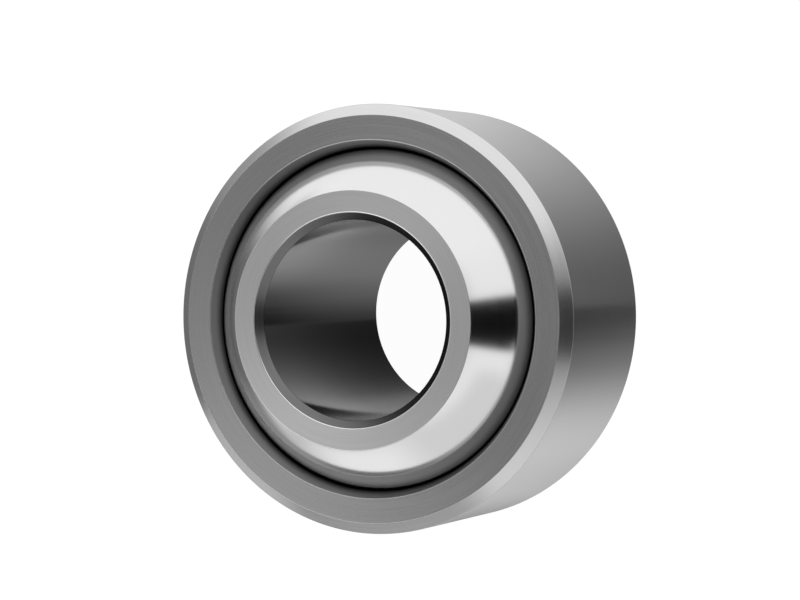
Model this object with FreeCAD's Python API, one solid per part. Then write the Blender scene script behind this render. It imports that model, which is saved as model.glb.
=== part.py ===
import FreeCAD, Part
import math
import os

# Spherical plain bearing, metal on metal: an inner ring whose outside is a ball,
# held in the spherical race of a one-piece outer ring.
# Millimetres. The bearing axis is Z and the origin is the centre of the ball.

# Inner ring
BORE_DIAMETER = 12.0
BORE_CHAMFER = 0.45  # 45 degrees, at both ends of the bore
END_LAND = 1.296  # width of the flat end face, from the chamfer out to the ball
BALL_DIAMETER = 23.0

# Outer ring
OUTER_WIDTH = 12.0
RACE_WALL = 1.44  # thinnest wall, between the race and the housing seat
SEAT_CHAMFER_DEPTH = 0.55  # lead-in chamfer of the housing seat, along the axis
SEAT_CHAMFER_REACH = 0.69  # and across it
MOUTH_BEVEL_DEPTH = 0.95  # bevel between the end face and the lip of the race
MOUTH_BEVEL_REACH = 0.41

# Both rings
RACE_CLEARANCE = 0.06  # radial play between the ball and the race
EDGE_BREAK = 0.06  # small flats that break the edges of the end faces

AXIS = FreeCAD.Vector(0, 0, 1)
CENTRE = FreeCAD.Vector(0, 0, 0)


def at(radius, height):
    """A point of a turning profile, which lies in the XZ plane."""
    return FreeCAD.Vector(radius, 0, height)


def both_ends(points):
    """The points of the upper half, then their mirror images in the lower half."""
    return points + [at(point.x, -point.z) for point in reversed(points)]


def turned(points, sphere_radius):
    """The solid that a profile sweeps about the bearing axis.

    The profile runs straight from point to point, and closes from the last point to the
    first with an arc of the sphere, centred on the origin.
    """
    edges = [Part.makeLine(a, b) for a, b in zip(points, points[1:])]
    sphere = Part.Arc(points[-1], at(sphere_radius, 0), points[0])
    edges.append(sphere.toShape())
    face = Part.Face(Part.Wire(edges))
    return face.revolve(CENTRE, AXIS, 360)


def inner_ring():
    """Ball cut flat at both ends, with a chamfered bore.

    The ends are cut where a flat of END_LAND is left between the chamfer and the ball.
    """
    ball = BALL_DIAMETER / 2
    bore = BORE_DIAMETER / 2
    mouth = bore + BORE_CHAMFER
    land_edge = mouth + END_LAND
    end = math.sqrt(ball**2 - land_edge**2)
    break_height = end - EDGE_BREAK
    wall = both_ends([
        at(math.sqrt(ball**2 - break_height**2), break_height),
        at(land_edge - EDGE_BREAK, end),
        at(mouth, end),
        at(bore, end - BORE_CHAMFER),
    ])
    return turned(wall, ball)


def outer_ring():
    """Ring with a spherical race, a bevelled mouth at each end and a chamfered seat.

    The race is one clearance larger than the ball, and its lip is where the bevel meets it.
    """
    race = BALL_DIAMETER / 2 + RACE_CLEARANCE
    seat = race + RACE_WALL
    end = OUTER_WIDTH / 2
    lip_height = end - MOUTH_BEVEL_DEPTH
    lip = math.sqrt(race**2 - lip_height**2)
    mouth = lip + MOUTH_BEVEL_REACH
    break_reach = EDGE_BREAK * MOUTH_BEVEL_REACH / MOUTH_BEVEL_DEPTH
    wall = both_ends([
        at(lip, lip_height),
        at(mouth - break_reach, end - EDGE_BREAK),
        at(mouth + EDGE_BREAK, end),
        at(seat - SEAT_CHAMFER_REACH, end),
        at(seat, end - SEAT_CHAMFER_DEPTH),
    ])
    return turned(wall, race)


PIECES = {
    "inner_ring": inner_ring,
    "outer_ring": outer_ring,
}

os.makedirs("parts", exist_ok=True)
for name, build in PIECES.items():
    build().exportStep(f"parts/{name}.step")
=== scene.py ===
import math

import bpy
import numpy as np
from mathutils import Matrix, Vector


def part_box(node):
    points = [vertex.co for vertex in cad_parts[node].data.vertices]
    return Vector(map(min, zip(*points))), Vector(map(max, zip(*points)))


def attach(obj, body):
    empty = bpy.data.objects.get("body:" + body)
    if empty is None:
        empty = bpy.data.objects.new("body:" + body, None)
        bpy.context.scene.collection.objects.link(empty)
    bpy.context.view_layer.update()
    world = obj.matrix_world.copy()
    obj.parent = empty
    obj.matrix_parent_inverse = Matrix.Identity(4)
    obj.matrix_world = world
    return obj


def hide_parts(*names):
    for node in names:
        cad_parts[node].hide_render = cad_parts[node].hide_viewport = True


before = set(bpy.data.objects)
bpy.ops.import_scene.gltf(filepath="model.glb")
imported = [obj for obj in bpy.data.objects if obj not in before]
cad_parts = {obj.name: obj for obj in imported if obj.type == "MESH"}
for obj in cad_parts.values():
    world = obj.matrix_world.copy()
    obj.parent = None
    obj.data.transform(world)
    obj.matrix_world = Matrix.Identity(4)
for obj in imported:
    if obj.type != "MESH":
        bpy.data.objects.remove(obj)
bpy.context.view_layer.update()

# Lengths are in metres
MM = 0.001

# Sizes of the two rings, read from the frame where it has them
SEAT_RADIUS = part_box("outer_ring")[1].x
OUTER_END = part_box("outer_ring")[1].z
BALL_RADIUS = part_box("inner_ring")[1].x
INNER_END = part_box("inner_ring")[1].z
BORE_RADIUS = 6.0 * MM
BORE_CHAMFER = 0.45 * MM
SEAT_CHAMFER_DEPTH = 0.55 * MM
SEAT_CHAMFER_REACH = 0.69 * MM
MOUTH_BEVEL_DEPTH = 0.95 * MM
MOUTH_BEVEL_REACH = 0.41 * MM
RACE_CLEARANCE = 0.06 * MM

# Rounds that the deburred edges have
FINE_ROUND = 0.035 * MM
EDGE_ROUND = 0.06 * MM
BORE_EDGE_ROUND = 0.11 * MM
LIP_ROUND = 0.16 * MM

# Points of the meshes
ROUND_THE_AXIS = 400
ALONG_A_ROUND = 5
ALONG_A_SPHERE = 72

# Marks of the tools
GROOVE_PITCH = 0.1 * MM
FINE_PITCH = 0.06 * MM
NOISE_LOW, NOISE_HIGH = 0.3, 0.7  # most of a noise's values lie between them
NOISE_DETAIL = 3.0
NOISE_ROUGHNESS = 0.6
ROUGHNESS_CONTRAST = 0.06
QUARTER_TURN = 0.25  # from the tangent, which runs round the axis

# Painted shade on the mouth bevel, darkening it towards the lip, in the groove by the ball
PAINTED_SHADE_TONE = 0.30  # share of the bevel's own grey
PAINTED_SHADE_DEPTH = 0.6 * MOUTH_BEVEL_DEPTH

# Floor, where the bearing stands on its end
GROUND = -INNER_END
FLOOR_REACH = 3.0
FLOOR_GLOW = 0.97  # seen by the camera alone
FLOOR_PAINT = 0.12  # takes the bearing's shadow

# Light tent, angles in degrees
WALL_LEVEL = 0.88
ALL_ROUND = (-400, -300, 300, 400)
BELOW = (-91, -90, -45, -28)

# Card for the bore, with its level at azimuths round it
CARD_DEPTH = 100 * MM
CARD_REACH = 47 * MM
CARD_SIDES = 48
CARD_LEVELS = [
    (-150, 0.26),
    (-123, 0.32),
    (-93, 0.5),
    (-60, 0.62),
    (-31, 0.45),
    (-8, 0.20),
    (0, 0.14),
    (1.5, 0.04),
    (25, 0.025),
    (50, 0.03),
    (79, 0.045),
    (104, 0.12),
    (125, 0.32),
]

# Camera, with its focal length and the middle of its view in pixels of the picture
CAMERA_ELEVATION = 65.7
CAMERA_ROLL = -3.7
CAMERA_DISTANCE = 169 * MM
FOCAL_PX = 2716
CENTRE_PX = (409.2, 316.9)
WIDTH_PX, HEIGHT_PX = 800, 600
SENSOR_WIDTH = 36  # millimetres, as Blender counts it


# Turned profiles


def rounded_corner(before, corner, after, radius):
    """An arc of the given radius tangent to both sides of a corner of the profile.

    Its centre lies on the corner's bisector, at radius over the sine of half the corner's
    angle. Returns the points and their outward normals, which run away from that centre.
    """
    before, corner, after = (np.array(point) for point in (before, corner, after))
    back = (before - corner) / np.linalg.norm(before - corner)
    ahead = (after - corner) / np.linalg.norm(after - corner)
    half = math.acos(back @ ahead) / 2
    bisector = (back + ahead) / np.linalg.norm(back + ahead)
    centre = corner + bisector * radius / math.sin(half)
    start = corner + back * radius / math.tan(half) - centre
    end = corner + ahead * radius / math.tan(half) - centre
    share = np.linspace(0, 1, ALONG_A_ROUND)[:, None]
    normals = start * (1 - share) + end * share
    normals /= np.linalg.norm(normals, axis=1, keepdims=True)
    return centre + normals * radius, normals


def sphere_arc(radius, from_height, to_height, facing):
    """An arc of a sphere about the origin, even in latitude, between two heights.

    facing is 1 for a ball, whose normals run outwards, and -1 for a race.
    """
    start = math.asin(from_height / radius)
    end = math.asin(to_height / radius)
    latitude = np.linspace(start, end, ALONG_A_SPHERE)
    normals = np.stack([np.cos(latitude), np.sin(latitude)], axis=1)
    return normals * radius, normals * facing


def both_ends(rows, finishes_back):
    """The corner rows of the upper end, then their mirror images at the lower end.

    A finish belongs to the stretch after its corner, and mirrored that stretch comes before
    the corner, so finishes_back gives the finishes of the way back.
    """
    lower = [
        (radius, -height, edge, edge_finish, finish)
        for (radius, height, edge, edge_finish, _), finish in zip(reversed(rows), finishes_back)
    ]
    return rows + lower


def profile_round(corners, sphere):
    """A closed profile: the rounded corners in order, then the arc of the sphere.

    corners are (radius, height, round, finish of the round, finish of the stretch after it)
    rows. Returns points, normals and one finish for each stretch.
    """
    places = [np.array(row[:2]) for row in corners]
    finish_of_arc = corners[-1][-1]
    arc_points, arc_normals = sphere
    points, normals, finishes = [], [], []
    neighbours = [arc_points[-2], *places, arc_points[1]]
    for index, (_, _, radius, edge_finish, finish) in enumerate(corners):
        bend = rounded_corner(neighbours[index], places[index], neighbours[index + 2], radius)
        points.append(bend[0])
        normals.append(bend[1])
        finishes += [edge_finish] * (ALONG_A_ROUND - 1) + [finish]
    points.append(arc_points[1:-1])
    normals.append(arc_normals[1:-1])
    finishes += [finish_of_arc] * (ALONG_A_SPHERE - 2)
    return np.concatenate(points), np.concatenate(normals), np.array(finishes)


def turned(pairs):
    """Every (radius, height) pair once round the axis.

    A pair at angle a goes to (radius cos a, radius sin a, height). Normals turn in the same
    way as points. Returns one row of vectors for each angle.
    """
    angle = np.linspace(0, 2 * math.pi, ROUND_THE_AXIS, endpoint=False)[:, None]
    radius, height = pairs.T
    return np.stack(
        [np.cos(angle) * radius, np.sin(angle) * radius, np.ones_like(angle) * height],
        axis=2,
    )


def turned_piece(name, profile, materials):
    """A surface of revolution: the closed profile, turned about the bearing axis.

    Its normals are the profile's own, so it looks as round as a piece from the lathe.
    """
    points, normals, finishes = profile
    count = len(points)
    here = np.arange(ROUND_THE_AXIS)[:, None] * count + np.arange(count)
    onward = np.roll(here, -1, axis=0)
    quads = np.stack([here, np.roll(here, -1, axis=1), np.roll(onward, -1, axis=1), onward], axis=2)
    way = points[1] - points[0]
    faces_inwards = way[0] * normals[0, 1] < way[1] * normals[0, 0]
    if faces_inwards:
        quads = quads[:, :, ::-1]

    mesh = bpy.data.meshes.new(name)
    mesh.from_pydata(turned(points).reshape(-1, 3).tolist(), [], quads.reshape(-1, 4).tolist())
    mesh.polygons.foreach_set("material_index", np.tile(finishes, ROUND_THE_AXIS))
    mesh.polygons.foreach_set("use_smooth", np.ones(len(mesh.polygons), dtype=bool))
    for material in materials:
        mesh.materials.append(material)
    mesh.update()
    mesh.normals_split_custom_set_from_vertices(turned(normals).reshape(-1, 3).tolist())
    return placed(name, mesh)


def placed(name, data):
    """A new object of the scene with the given mesh, lamp or camera."""
    thing = bpy.data.objects.new(name, data)
    bpy.context.collection.objects.link(thing)
    return thing


# Nodes


class Graph:
    """The nodes of a material or of the world. Each is made, set and joined in one call."""

    def __init__(self, owner):
        owner.use_nodes = True
        self.nodes = owner.node_tree.nodes
        self.links = owner.node_tree.links

    def feed(self, socket, value):
        """Joins the socket to another node's output, or sets it to a plain value."""
        if isinstance(value, bpy.types.NodeSocket):
            self.links.new(value, socket)
        else:
            socket.default_value = value

    def add(self, kind, inputs=None, **settings):
        """A new node. inputs holds what its sockets are fed, by their name or number."""
        node = self.nodes.new(kind)
        for key, value in settings.items():
            setattr(node, key, value)
        for key, value in (inputs or {}).items():
            self.feed(node.inputs[key], value)
        return node

    def math(self, operation, *values):
        node = self.add("ShaderNodeMath", dict(enumerate(values)), operation=operation)
        return node.outputs[0]

    def carry(self, value, start, end, low=0.0, high=1.0, **settings):
        """Carries the span from start to end over to the span from low to high."""
        spans = {"From Min": start, "From Max": end, "To Min": low, "To Max": high}
        node = self.add("ShaderNodeMapRange", {"Value": value, **spans}, **settings)
        return node.outputs["Result"]

    def mix(self, share, first, second):
        """From the first value, at a share of 0, to the second, at 1."""
        node = self.add("ShaderNodeMix", {"Factor": share, "A": first, "B": second})
        return node.outputs["Result"]

    def place(self, kind="Object"):
        """x, y and z of the shaded point, or with Generated of the world's direction."""
        vector = self.add("ShaderNodeTexCoord").outputs[kind]
        return self.add("ShaderNodeSeparateXYZ", {0: vector}).outputs

    def azimuth(self, x, y):
        """Degrees round the axis, from -180 to 180: 0 on the -Y side, 90 on the +X side."""
        return self.math("DEGREES", self.math("ARCTAN2", x, self.math("MULTIPLY", y, -1)))

    def seen_by_camera(self):
        """1 where the camera looks straight at it, else 0."""
        return self.add("ShaderNodeLightPath").outputs["Is Camera Ray"]

    def show(self, shader):
        """Makes a shader node the look of a material."""
        self.feed(self.nodes["Material Output"].inputs["Surface"], shader.outputs[0])


# Finishes


def tool_marks(graph, pitch, arc_share):
    """Noise in marks round the axis, as a tool leaves them.

    It is read at (direction x, direction y, distance along the profile over pitch), and
    arc_share scales the direction: it changes fast from one groove to the next and slowly
    along a groove. The distance is radius plus height, which grows along flats, cones and
    cylinders alike.
    """
    x, y, height = graph.place()
    square = graph.math("ADD", graph.math("MULTIPLY", x, x), graph.math("MULTIPLY", y, y))
    radius = graph.math("SQRT", square)
    where = graph.add("ShaderNodeCombineXYZ", {
        0: graph.math("DIVIDE", graph.math("MULTIPLY", x, arc_share), radius),
        1: graph.math("DIVIDE", graph.math("MULTIPLY", y, arc_share), radius),
        2: graph.math("DIVIDE", graph.math("ADD", radius, height), pitch),
    })
    noise = graph.add("ShaderNodeTexNoise", {
        "Vector": where.outputs[0],
        "Scale": 1.0,
        "Detail": NOISE_DETAIL,
        "Roughness": NOISE_ROUGHNESS,
    })
    return noise.outputs["Fac"]


def varied(graph, marks, value, contrast):
    """The value, give or take its contrast, as the marks go."""
    low, high = value * (1 - contrast), value * (1 + contrast)
    return graph.carry(marks, NOISE_LOW, NOISE_HIGH, low, high, clamp=False)


def steel(name, grey, roughness, pitch=GROOVE_PITCH, contrast=0.1, anisotropy=0.0, arc_share=1.5,
          painted_shade=None):
    """Bare steel with marks round the axis.

    Brightness and roughness follow the marks. With anisotropy the gloss spreads across
    the grooves, as on any turned or ground face. The last argument is a pair of heights above
    and below the middle, for a painted shade: the steel is darkest up to the first, and has
    its own grey from the second.
    """
    material = bpy.data.materials.new(name)
    graph = Graph(material)
    shader = graph.nodes["Principled BSDF"]
    shader.inputs["Metallic"].default_value = 1.0
    marks = tool_marks(graph, pitch, arc_share)
    tone = varied(graph, marks, grey, contrast)
    # Painted shade: the tone darkens from the second height to the first, towards the middle
    if painted_shade:
        height = graph.math("ABSOLUTE", graph.place()[2])
        own = graph.carry(height, *painted_shade, PAINTED_SHADE_TONE, interpolation_type="SMOOTHSTEP")
        tone = graph.math("MULTIPLY", tone, own)
    colour = graph.add("ShaderNodeCombineColor", {0: tone, 1: tone, 2: tone})
    graph.feed(shader.inputs["Base Color"], colour.outputs[0])
    graph.feed(shader.inputs["Roughness"], varied(graph, marks, roughness, ROUGHNESS_CONTRAST))
    if anisotropy:
        shader.inputs["Anisotropic"].default_value = anisotropy
        shader.inputs["Anisotropic Rotation"].default_value = QUARTER_TURN
        tangent = graph.add("ShaderNodeTangent", direction_type="RADIAL", axis="Z")
        graph.feed(shader.inputs["Tangent"], tangent.outputs[0])
    return material


# Pieces


def outer_ring():
    """The ring with the race: chamfered seat, end faces, mouth bevels and race."""
    race_radius = BALL_RADIUS + RACE_CLEARANCE
    lip_height = OUTER_END - MOUTH_BEVEL_DEPTH
    lip_radius = math.sqrt(race_radius**2 - lip_height**2)
    mouth_radius = lip_radius + MOUTH_BEVEL_REACH
    # Heights of the painted shade on the bevel, darkest at the lip, where the ball shades the
    # groove
    bevel_shade_heights = (lip_height, lip_height + PAINTED_SHADE_DEPTH)
    finishes = [
        steel("mouth_bevel_steel", 0.34, 0.36, FINE_PITCH, contrast=0.06, anisotropy=0.7,
              painted_shade=bevel_shade_heights),
        steel("end_face_steel", 0.38, 0.28, FINE_PITCH, contrast=0.08, anisotropy=0.6),
        steel("seat_chamfer_steel", 0.80, 0.22, FINE_PITCH, contrast=0.03, anisotropy=0.4),
        steel("ground_seat_steel", 0.55, 0.23, FINE_PITCH, contrast=0.01, anisotropy=0.8,
              arc_share=0.6),
        # Near-black race: painted shade of the gap between the ball and the lip, the only place the
        # race shows
        steel("race_painted_gap_shade", 0.05, 0.40),
        steel("burnished_outer_edge", 0.60, 0.25, contrast=0.02),
    ]
    bevel, face, chamfer, seat, race, edge = range(len(finishes))
    upper = [
        # The lip's round takes the race's painted shade, which widens the dark line at the gap
        (lip_radius, lip_height, LIP_ROUND, race, bevel),
        (mouth_radius, OUTER_END, EDGE_ROUND, edge, face),
        (SEAT_RADIUS - SEAT_CHAMFER_REACH, OUTER_END, FINE_ROUND, chamfer, chamfer),
        (SEAT_RADIUS, OUTER_END - SEAT_CHAMFER_DEPTH, EDGE_ROUND, edge, seat),
    ]
    corners = both_ends(upper, [chamfer, face, bevel, race])
    sphere = sphere_arc(race_radius, -lip_height, lip_height, -1)
    piece = turned_piece("turned_outer_ring", profile_round(corners, sphere), finishes)
    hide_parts("outer_ring")
    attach(piece, "outer_ring")


def inner_ring():
    """The ball with flat ends and a chamfered bore."""
    land_edge = math.sqrt(BALL_RADIUS**2 - INNER_END**2)
    finishes = [
        steel("land_steel", 0.64, 0.34, FINE_PITCH, contrast=0.05, anisotropy=0.5),
        steel("bore_chamfer_steel", 0.21, 0.30, contrast=0.05),
        # Dark grey: partly the honed steel's own tone, partly painted shade of the inside of the
        # bore
        steel("honed_bore_with_painted_shade", 0.17, 0.14, contrast=0.02, anisotropy=0.6, arc_share=0.6),
        steel("polished_ball_chrome", 0.90, 0.14, contrast=0.01),
        steel("burnished_inner_edge", 0.95, 0.16, contrast=0.02),
    ]
    land, chamfer, bore, ball, edge = range(len(finishes))
    upper = [
        (land_edge, INNER_END, EDGE_ROUND, edge, land),
        (BORE_RADIUS + BORE_CHAMFER, INNER_END, BORE_EDGE_ROUND, edge, chamfer),
        (BORE_RADIUS, INNER_END - BORE_CHAMFER, FINE_ROUND, bore, bore),
    ]
    corners = both_ends(upper, [chamfer, land, ball])
    sphere = sphere_arc(BALL_RADIUS, -INNER_END, INNER_END, 1)
    piece = turned_piece("polished_inner_ring", profile_round(corners, sphere), finishes)
    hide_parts("inner_ring")
    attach(piece, "inner_ring")


# Studio


class Tent(Graph):
    """A light tent all round the bearing: the world, at one level with cloths over it.

    Azimuth is 0 on the -Y side and 90 on the +X side. Elevation is 90 overhead.
    """

    def __init__(self, level):
        world = bpy.data.worlds.new("light_tent")
        bpy.context.scene.world = world
        super().__init__(world)
        x, y, z = self.place("Generated")
        self.around = self.azimuth(x, y)
        self.elevation = self.math("DEGREES", self.math("ARCSINE", z))
        self.level = level

    def cover(self, value, angles):
        """0, then 1 between the inner two of four angles, then 0, with soft edges."""
        start, full, still_full, end = angles
        rise = self.carry(value, start, full, interpolation_type="SMOOTHSTEP")
        fall = self.carry(value, end, still_full, interpolation_type="SMOOTHSTEP")
        return self.math("MULTIPLY", rise, fall)

    def cloth(self, azimuths, elevations, level, slope=0.0):
        """A cloth of a level of its own, full between the inner two angles of each four.

        Its lower and upper edges climb by slope degrees for each degree of azimuth.
        """
        middle = (azimuths[1] + azimuths[2]) / 2
        near = self.math("WRAP", self.around, middle + 180, middle - 180)
        climb = self.math("MULTIPLY", self.math("SUBTRACT", near, middle), slope)
        height = self.math("SUBTRACT", self.elevation, climb)
        cover = self.math("MULTIPLY", self.cover(near, azimuths), self.cover(height, elevations))
        self.level = self.mix(cover, self.level, level)

    def finish(self):
        """White for the camera, and the tent for everything else."""
        background = self.nodes["Background"]
        background.inputs["Color"].default_value = (1, 1, 1, 1)
        strength = self.mix(self.seen_by_camera(), self.level, 1.0)
        self.feed(background.inputs["Strength"], strength)


def light_tent():
    """Bright walls, a dimmer ceiling, and the cloths that draw the bands on the steel."""
    tent = Tent(WALL_LEVEL)
    tent.cloth(ALL_ROUND, (20, 45, 90, 91), 0.30)  # dim ceiling
    tent.cloth(ALL_ROUND, (76, 86, 90, 91), 0.05)  # dark top of the tent
    tent.cloth((-116, -100, -62, -46), (38, 48, 66, 74), 0.02)  # dark patch over -X
    tent.cloth((20, 45, 120, 135), (-20, -10, 56, 70), 0.92)  # bright wall at +X
    tent.cloth((-108, -80, -40, -26), (-60, -45, 10, 24), 0.68)  # soft wall at -X
    tent.cloth((-150, -134, -92, -73), (2, 7, 28, 44), 0.23, slope=0.45)  # and a dim one
    tent.cloth((124, 148, 185, 240), (-12, -6, 6, 16), 0.17)  # grey strip at +Y
    tent.cloth((150, 172, 185, 240), (6, 12, 40, 54), 0.18)  # grey wall over it
    tent.cloth((134, 165, 190, 240), (-40, -30, -12, -6), 0.14)  # and the wall under it
    tent.cloth((160, 189, 244, 290), (42, 52, 57, 70), 1.12)  # soft light over +Y
    tent.cloth((190, 197, 212, 222), (-21, -16, -5, 0), 0.58)  # strip light low at +Y
    tent.cloth((140, 170, 215, 240), (-91, -90, -50, -32), 0.12)  # dark ground at +Y
    tent.cloth((-104, -84, -70, -54), (-91, -90, -50, -34), 1.04)  # bright ground at -X
    tent.cloth((-70, -16, 9, 106), BELOW, 0.20)  # dark ground at -Y
    tent.cloth((-56, -18, -9, 1), BELOW, 0.085)  # its darker half
    tent.cloth((-16, -13, -2, 1), BELOW, 0.0)  # its darkest fold
    tent.cloth((-21, -19, -17, -15), BELOW, 0.0)  # and a fine one
    tent.cloth((-23, -19, 6, 9), (-20, -8, 30, 36), 0.0)  # black flag at -Y
    tent.cloth((-60, -14, 6, 34), (28, 34, 46, 52), 0.02)  # its wider top
    tent.cloth((-36, -26, -19, -14), (-40, -30, -14, 4), 0.70)  # its cut lower corner
    tent.finish()


def plain_mesh(name, places, face):
    """A flat object of the studio, which isn't part of the bearing."""
    mesh = bpy.data.meshes.new(name)
    mesh.from_pydata(places, [], [face])
    thing = placed(name, mesh)
    return thing


def bare_material(thing, name):
    """Gives the thing a material that has no shader yet, and returns its nodes."""
    material = bpy.data.materials.new(name)
    thing.data.materials.append(material)
    graph = Graph(material)
    graph.nodes.remove(graph.nodes["Principled BSDF"])
    return graph


def floor():
    """White floor with the bearing's shadow. The steel sees the tent in its place."""
    sides = [(-1, -1), (1, -1), (1, 1), (-1, 1)]
    corners = [(x * FLOOR_REACH, y * FLOOR_REACH, GROUND) for x, y in sides]
    table = plain_mesh("floor", corners, range(len(corners)))
    table.visible_glossy = False
    graph = bare_material(table, "white_floor")
    grey = (FLOOR_PAINT, FLOOR_PAINT, FLOOR_PAINT, 1)
    paint = graph.add("ShaderNodeBsdfDiffuse", {"Color": grey})
    level = graph.math("MULTIPLY", graph.seen_by_camera(), FLOOR_GLOW)
    glow = graph.add("ShaderNodeEmission", {"Strength": level})
    both = graph.add("ShaderNodeAddShader", {0: paint.outputs[0], 1: glow.outputs[0]})
    graph.show(both)


def bore_card():
    """A shaded disc under the floor, which only the bore's wall looks down on.

    It is lit from within: its level runs round the disc, from the -Y side by way of +X.
    """
    turn = np.linspace(0, 2 * math.pi, CARD_SIDES, endpoint=False)
    depth = np.full(CARD_SIDES, -CARD_DEPTH)
    rim = np.stack([CARD_REACH * np.sin(turn), -CARD_REACH * np.cos(turn), depth], axis=1)
    card = plain_mesh("bore_card", rim.tolist(), range(CARD_SIDES))
    card.visible_camera = False
    card.visible_diffuse = False
    card.visible_shadow = False
    graph = bare_material(card, "shaded_card")
    x, y, _ = graph.place()
    share = graph.carry(graph.azimuth(x, y), -180, 180)
    shade = graph.add("ShaderNodeValToRGB", {"Fac": share})
    stops = shade.color_ramp.elements
    while len(stops) < len(CARD_LEVELS):
        stops.new(0.5)
    for stop, (azimuth, level) in zip(stops, CARD_LEVELS):
        stop.position = (azimuth + 180) / 360
        stop.color = (level, level, level, 1)
    glow = graph.add("ShaderNodeEmission", {"Color": shade.outputs["Color"]})
    graph.show(glow)


def lamp(name, azimuth, elevation, distance, size, power):
    """A square soft lamp at an azimuth and an elevation of the tent, aimed at the bearing."""
    light = bpy.data.lights.new(name, "AREA")
    light.shape = "SQUARE"
    light.size = size
    light.energy = power
    holder = placed(name, light)
    turn, rise = math.radians(azimuth), math.radians(elevation)
    across = math.cos(rise)
    way = Vector((math.sin(turn) * across, -math.cos(turn) * across, math.sin(rise)))
    holder.location = way * distance
    holder.rotation_euler = way.to_track_quat("Z", "Y").to_euler()
    holder.visible_camera = False


def camera():
    """Looks down on the bearing from the -Y side, with +X at the top of the picture."""
    elevation = math.radians(CAMERA_ELEVATION)
    data = bpy.data.cameras.new("camera")
    data.sensor_width = SENSOR_WIDTH
    data.lens = SENSOR_WIDTH * FOCAL_PX / WIDTH_PX
    data.shift_x = (WIDTH_PX / 2 - CENTRE_PX[0]) / WIDTH_PX
    data.shift_y = (CENTRE_PX[1] - HEIGHT_PX / 2) / WIDTH_PX
    data.clip_start = 0.01
    data.clip_end = 20
    back = Vector((0, -math.cos(elevation), math.sin(elevation)))
    up = Matrix.Rotation(math.radians(CAMERA_ROLL), 3, back) @ Vector((1, 0, 0))
    right = up.cross(back)
    aim = Matrix((right, up, back)).transposed().to_4x4()
    holder = placed("camera", data)
    holder.matrix_world = Matrix.Translation(back * CAMERA_DISTANCE) @ aim
    bpy.context.scene.camera = holder


outer_ring()
inner_ring()
light_tent()
floor()
bore_card()
lamp("key_lamp", azimuth=-150, elevation=42, distance=150 * MM, size=80 * MM, power=0.008)
camera()
bpy.context.scene.view_settings.view_transform = "Standard"
